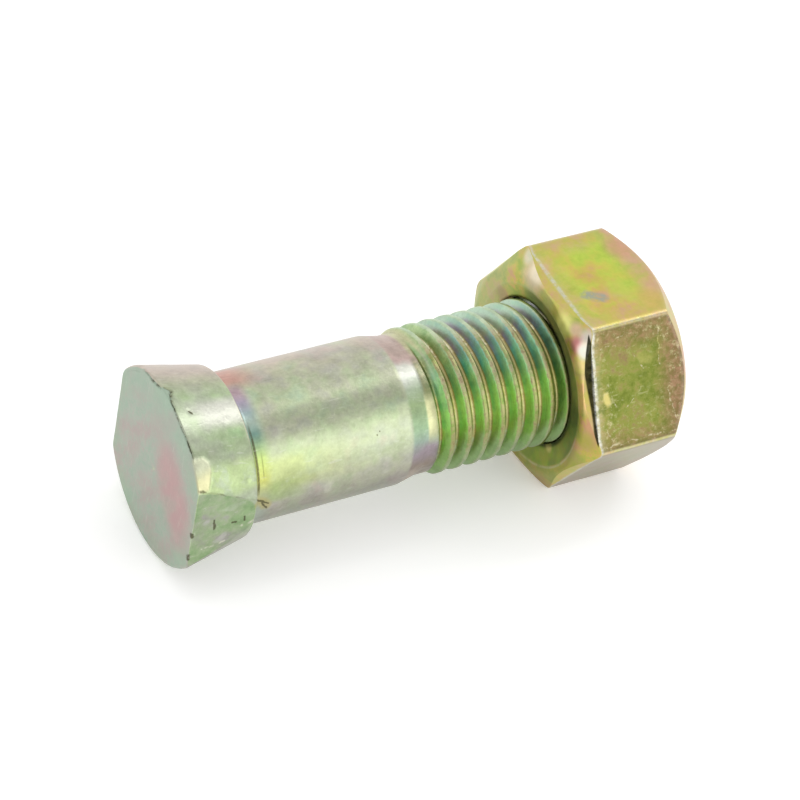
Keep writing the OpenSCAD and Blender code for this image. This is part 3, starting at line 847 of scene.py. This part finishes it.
# Where the near face is painted brighter, as painted highlights and reflections: centre, reach, core and
# amount
PAINTED_BRIGHT_PATCHES = (
    ((43.8, -8.9, 5.4), 3, 1.2, 0.5), ((43.8, -3.6, 9.9), 1.8, 0.6, 0.35), ((44.3, -7.4, 9.6), 1.4, 0.6, 0.5),
    ((43.8, -7.5, 8), 1.8, 0.6, 0.5), ((44.2, 3, 11.8), 2, 0.8, 0.2))
FRONT_LINES = (
    ((45.2, -13.3, 0.66), (54.4, -13.3, 0.66), 0.13), ((52.9, -7.6, 10.5), (52.7, -9.6, 7.1), 0.1),
    ((45.3, -8, 9.8), (49.6, -7.3, 11), 0.1), ((46.4, -9.9, 6.5), (47.1, -11.2, 4.3), 0.1),
    ((48.2, -11.5, 3.8), (50.4, -10.6, 5.3), 0.09), ((49.2, -8.3, 9.3), (50.9, -9.5, 7.2), 0.1),
    ((53.6, -11, 4.6), (54.4, -12.6, 1.8), 0.11), ((45.6, -12.2, 2.6), (46.4, -12.9, 1.4), 0.12))
# Rubbed places of the front flat: start, end, width and amount
FRONT_RUBS = (
    ((46, -10.55, 5.5), (46.3, -10.9, 4.8), 0.55, 0.85), ((52.8, -8, 9.9), (52.85, -8.9, 8.3), 0.12, 0.3),
    ((50.6, -8.9, 8.3), (51.5, -9.1, 7.9), 0.7, 0.2))


class NutMetal(Metal):
    """Noises of the nut, and its flats."""

    def __init__(self):
        super().__init__("nut_zinc")
        self.fleck = self.speckle(0.55, 4, 0.65)
        self.grain = self.speckle(2, 3, 0.6)
        self.tint = self.noise(self.moved(5, 41, 17), 0.22, 2, 0.5)
        self.film = self.blend(self.speckle(0.17, 3, 0.6), 0.75, self.fleck, 0.25)
        self.mottle = self.blend(self.tint, 0.4, self.fleck, 0.6)
        self.inset = self.attribute("inset")
        self.near = self.facing((-1, 0, 0), 0.6, 0.8)
        self.shifted = self.warped(1.1, 0.8)

    def flat(self, degrees):
        """1 on the flat that looks out at this angle."""
        turn = math.radians(degrees)
        return self.facing((0, math.cos(turn), math.sin(turn)), 0.93, 0.985)

    def patch(self, centre, reach, core):
        return self.ease(self.distance(self.point, centre), reach, core)

    def patches(self, base, spots):
        for centre, reach, amount, colour in spots:
            base = self.paint(self.patch(centre, reach, reach * PATCH_CORE), amount, base, colour)
        return base


def flat_colour(g):
    """All flats: yellow-green, turning to orange and rose near the edges."""
    body = g.ramp(g.film, [
        (0.36, 0.53, 0.72, 0.09), (0.45, 0.67, 0.83, 0.13), (0.52, 0.78, 0.78, 0.14), (0.58, 0.83, 0.63, 0.17),
        (0.65, 0.8, 0.5, 0.28)])
    edge = g.plus(g.ease(g.inset, 3.2, 0.2), g.swing(g.tint, 1.1), clamp=True)
    warm = g.ramp(g.mottle, [(0.36, 0.7, 0.7, 0.2), (0.48, 0.82, 0.64, 0.2), (0.6, 0.8, 0.5, 0.34)])
    body = g.paint(edge, 0.7, body, warm)
    rosy = g.times(g.ease(g.x, 52.2, 55), g.ease(g.mottle, 0.38, 0.54, 0.4, 1))
    body = g.paint(rosy, g.ease(g.y, -3, 4, 0.4, 1), body, (0.82, 0.5, 0.36))
    return g.patches(body, TOP_PATCHES)


def front_colour(g):
    """Flat towards the viewer: darker, scuffed, brown at its far, upper and lower edges."""
    grit = g.speckle(1.1, 5, 0.68)
    olive = g.ramp(g.blend(g.tint, 0.45, grit, 0.55), [
        (0.39, 0.17, 0.21, 0.035), (0.46, 0.22, 0.26, 0.05), (0.52, 0.27, 0.29, 0.065),
        (0.58, 0.29, 0.27, 0.08), (0.65, 0.28, 0.21, 0.09)])
    brown = g.any(g.ease(g.x, 51.4, 55), g.ease(g.z, 2.6, 0.6, 0, 0.6), g.ease(g.z, 8.4, 10.8, 0, 0.75))
    brown = g.plus(brown, g.swing(grit, 1.1), clamp=True)
    earth = g.mix(g.ease(g.grain, 0.4, 0.62), (0.22, 0.13, 0.07), (0.36, 0.19, 0.13))
    olive = g.paint(brown, 0.8, olive, earth)
    by_edge = g.all(g.ease(g.x, 46.6, 44.9, 0, 0.6), g.ease(grit, 0.4, 0.56, 0.3, 1))
    olive = g.mix(by_edge, olive, (0.46, 0.38, 0.14))
    for start, end, width, amount in FRONT_RUBS:
        olive = g.paint(g.stroke(g.shifted, start, end, width), amount, olive, (0.72, 0.62, 0.22))
    lines = g.times(g.any(*g.strokes(g.shifted, FRONT_LINES)), g.ease(g.grain, 0.44, 0.56, 0.05, 0.75))
    return g.mix(lines, olive, (0.6, 0.54, 0.36))


def near_colour(g):
    """Near face and its chamfer."""
    band = g.ramp(g.mottle, [
        (0.4, 0.52, 0.64, 0.13), (0.47, 0.7, 0.7, 0.15), (0.52, 0.84, 0.66, 0.17), (0.58, 0.86, 0.5, 0.28)])
    band = g.mix(g.ease(g.y, 5, 9, 0, 0.6), band, (0.58, 0.63, 0.34))
    # Film colours, with painted highlights and painted shade among them
    band = g.patches(band, NEAR_FILM_AND_LIGHT_PATCHES)
    # Painted shade: the near face darkens towards the floor
    return g.mix(g.ease(g.z, -3, -8.5, 0, 0.6), band, (0.42, 0.42, 0.14))


def sink_colour(g, body):
    """Countersink: mottled green, darkened as painted shade and darkest beside the thread, with a painted
    glint and a painted highlight along its rim.
    """
    offset = g.vector("MULTIPLY", g.vector("SUBTRACT", g.point, (0, SINK_Y, SINK_Z)), (0, 1, 1))
    from_sink = g.vector("LENGTH", offset)
    open_side = g.most(g.ease(g.angle, 52, 84), g.ease(g.angle, -90, -120))
    well = g.all(g.ease(from_sink, SINK_R - 0.18, SINK_R - 0.4), g.ease(g.x, 45, 44.6), open_side)
    # Painted shade: the countersink is darker than the face, and darkest beside the thread
    sink_film_and_shade = g.ramp(g.times(g.plus(g.z, 6), 1 / 16), [
        (0.1, 0.43, 0.6, 0.085), (0.4, 0.35, 0.5, 0.13), (0.6, 0.42, 0.52, 0.19), (0.76, 0.52, 0.58, 0.22),
        (1, 0.42, 0.47, 0.13)])
    sink_film_and_shade = g.mix(g.ease(g.mottle, 0.44, 0.6, 0, 0.55), sink_film_and_shade, (0.56, 0.46, 0.12))
    sink_film_and_shade = g.mix(g.ease(g.speckle(0.4, 1), 0.4, 0.65, 0, 0.5), sink_film_and_shade, (0.24, 0.3, 0.12))
    sink_film_and_shade = g.mix(g.ease(g.radius, 8.7, 8.1, 0, 0.75), sink_film_and_shade, (0.07, 0.09, 0.03))
    # Painted glint in the countersink, below the thread
    sink_film_and_shade = g.paint(g.patch((44, -6.2, -5.5), 0.9, 0.35), 0.85, sink_film_and_shade, (0.95, 0.85, 0.3))
    body = g.mix(well, body, sink_film_and_shade)
    # Painted highlight: a thin pale line along the countersink's rim
    lip = g.all(g.around(from_sink, SINK_R - 0.1, 0.16, 0.05), g.near, open_side,
                g.ease(g.fleck, 0.36, 0.56, 0.2, 1))
    return g.paint(lip, 0.45, body, (0.78, 0.8, 0.5))


def nut_zinc():
    g = NutMetal()
    front = g.flat(150)
    body = g.mix(front, flat_colour(g), front_colour(g))
    lower = g.ramp(g.film, [(0.35, 0.4, 0.38, 0.29), (0.65, 0.44, 0.37, 0.32)])
    body = g.paint(g.most(g.flat(210), g.flat(270)), 0.85, body, lower)
    body = sink_colour(g, g.mix(g.near, body, near_colour(g)))

    # Painted dark reflection on the rolled edge beside the front flat, painted by its depth behind that flat
    depth = g.minus(NUT_HALF, g.dot(g.point, (0, -math.sqrt(0.75), 0.5)))
    depth = g.plus(depth, g.ease(g.angle, 132, 170, 0, 0.26))
    rolled_edge_reflection = g.all(g.ease(g.angle, 120.2, 121.5), g.ease(g.angle, 178, 175),
                   g.ease(g.x, NUT_X + 1.14, NUT_X + 1.04), g.ease(depth, 0.5, 0.4),
                   g.facing((-1, 0, 0), 0.2, 0.4))
    body = g.paint(rolled_edge_reflection, g.ease(g.grain, 0.3, 0.6, 1, 0.94), body, (0.024, 0.026, 0.011))

    # Scuff on the top flat, specks and scratches, and bright edges, partly wear and partly painted highlight
    scuff = g.stroke(g.shifted, (47.2, -2, 11.85), (48.6, -2.8, 11.85), 1)
    body = g.paint(scuff, g.ease(g.grain, 0.3, 0.55, 0.3, 0.9), body, (0.46, 0.5, 0.4))
    specks = g.all(g.ease(g.speckle(1.8, 5, 0.75), 0.5, 0.68), g.ease(g.inset, 4, 0.5, 0.3, 1),
                   g.ease(g.noise(g.moved(13, 5, 3), 0.35, 2), 0.4, 0.6, 0.3, 1))
    hairs = g.most(g.scratches((0.3, 1.2, 0.5), 6, 0.9, 0.68, 0.78),
                   g.scratches((1.1, -0.6, -0.4), 7, 1, 0.68, 0.78))
    marks = g.times(g.most(specks, g.times(hairs, 0.35)), g.plus(g.times(front, 0.6), 0.1))
    body = g.mix(marks, body, (0.66, 0.62, 0.34))
    patchy = g.ease(g.speckle(1.9, 4, 0.7), 0.34, 0.62, 0.25, 1)
    bright = g.times(g.attribute("wear"), patchy, clamp=True)
    body = g.paint(bright, 0.85, body, (0.88, 0.88, 0.8))

    shade = g.plus(g.times(g.fleck, 0.35), g.plus(g.times(g.grain, 0.15), 0.76))
    # Painted highlights: the near face is brightened in these patches
    thin = g.any(*(g.times(g.patch(*spot), amount) for *spot, amount in PAINTED_BRIGHT_PATCHES))
    g.finish(body, g.plus(shade, g.times(g.near, thin)))
    rough = g.plus(g.blend(g.fleck, 0.18, g.grain, 0.12), g.times(marks, -0.1))
    rough = g.plus(rough, g.times(g.near, 0.15))
    g.feed(g.plus(rough, 0.2), g.shader.inputs["Roughness"])
    g.relief([(g.grain, 0.008), (g.fleck, 0.035), (marks, -0.01)])
    return g.material


# Pieces

bolt = make_bolt()
bolt.data.materials.append(bolt_zinc())
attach(bolt, "bolt")
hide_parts("bolt")

nut = make_nut()
nut.data.materials.append(nut_zinc())
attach(nut, "nut")
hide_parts("hex_nut")


# Floor, light and camera

def make_floor():
    """White floor through the points on which the bolt lies: the rim of the head and a flat of the nut."""
    head, flat = Vector(REST_HEAD) * MM, Vector(REST_NUT) * MM
    slope = math.atan2(head.z - flat.z, flat.x - head.x)
    bpy.ops.mesh.primitive_plane_add(size=8)
    floor = bpy.context.object
    floor.name = "floor"
    floor.rotation_euler = (0, slope, 0)
    floor.location = head
    material = bpy.data.materials.new("white_floor")
    material.use_nodes = True
    g = Graph(material.node_tree)
    g.tree.nodes.remove(g.tree.nodes["Principled BSDF"])
    diffuse = g.add("ShaderNodeBsdfDiffuse")
    diffuse.inputs["Color"].default_value = (0.92, 0.92, 0.92, 1)
    lift = g.add("ShaderNodeEmission")
    lift.inputs["Color"].default_value = (1, 1, 1, 1)
    path = g.add("ShaderNodeLightPath")
    seen = g.any(*(path.outputs[name] for name in ("Is Camera Ray", "Is Glossy Ray", "Is Transmission Ray")))
    g.feed(g.times(seen, FLOOR_LIFT), lift.inputs["Strength"])
    both = g.add("ShaderNodeAddShader")
    g.feed(diffuse.outputs[0], both.inputs[0])
    g.feed(lift.outputs[0], both.inputs[1])
    g.feed(both.outputs[0], g.tree.nodes["Material Output"].inputs["Surface"])
    floor.data.materials.append(material)


def make_world():
    """Soft white tent, a little darker overhead, that shows as plain white to the camera."""
    world = bpy.data.worlds.new("tent")
    scene.world = world
    world.use_nodes = True
    g = Graph(world.node_tree)
    back = g.tree.nodes["Background"]
    coord = g.add("ShaderNodeTexCoord")
    direction = g.vector("NORMALIZE", coord.outputs["Generated"])
    height = g.plus(g.times(g.dot(direction, (0, 0, 1)), 0.5), 0.5)
    tones = ((0.3, 0.6), (0.5, 0.84), (0.66, 0.74), (0.86, 0.72), (1.0, 0.7))
    grey = g.ramp(height, [(place, tone, tone, tone) for place, tone in tones])
    dim = g.ease(g.dot(direction, Vector((0.43, -0.34, 0.83)).normalized()), 0.94, 0.99)
    grey = g.paint(dim, 0.65, grey, (0.3, 0.3, 0.3))
    path = g.add("ShaderNodeLightPath")
    seen = path.outputs["Is Camera Ray"]
    g.feed(g.mix(seen, grey, (1, 1, 1)), back.inputs["Color"])
    g.feed(g.plus(g.times(seen, 1.0 - LIGHT), LIGHT), back.inputs["Strength"])


def make_lamp(name, direction, along, size, radiance):
    """Soft box towards the middle of the part; its first side lies along the second direction."""
    data = bpy.data.lights.new(name, "AREA")
    data.shape = "RECTANGLE"
    data.size, data.size_y = size
    data.energy = radiance * LIGHT * math.pi * size[0] * size[1]
    lamp = bpy.data.objects.new(name, data)
    scene.collection.objects.link(lamp)
    aim = Vector(direction).normalized()
    first = (Vector(along) - aim * aim.dot(Vector(along))).normalized()
    place = Matrix((first, aim.cross(first), aim)).transposed().to_4x4()
    place.translation = PART_MIDDLE + aim * LAMP_DISTANCE
    lamp.matrix_world = place


def make_camera():
    data = bpy.data.cameras.new("photo")
    data.sensor_fit = "HORIZONTAL"
    data.sensor_width = SENSOR_MM
    data.lens = LENS_MM
    data.clip_start = 0.01
    camera = bpy.data.objects.new("photo", data)
    scene.collection.objects.link(camera)
    back = CAMERA_RIGHT.cross(CAMERA_UP)
    place = Matrix((CAMERA_RIGHT, CAMERA_UP, back)).transposed().to_4x4()
    place.translation = CAMERA_PLACE
    camera.matrix_world = place
    scene.camera = camera


make_floor()
make_world()
make_lamp("front_box", (0.44, -0.87, 0.3), (0.87, 0.44, 0), (0.36, 0.42), 0.66)
make_lamp("top_strip", (0.66, 0.1, 0.74), (0.74, 0, -0.66), (0.26, 0.07), 3.2)
make_camera()

scene.view_settings.view_transform = "Standard"


def plain(corners):
    return [[float(v) for v in corner] for corner in corners]
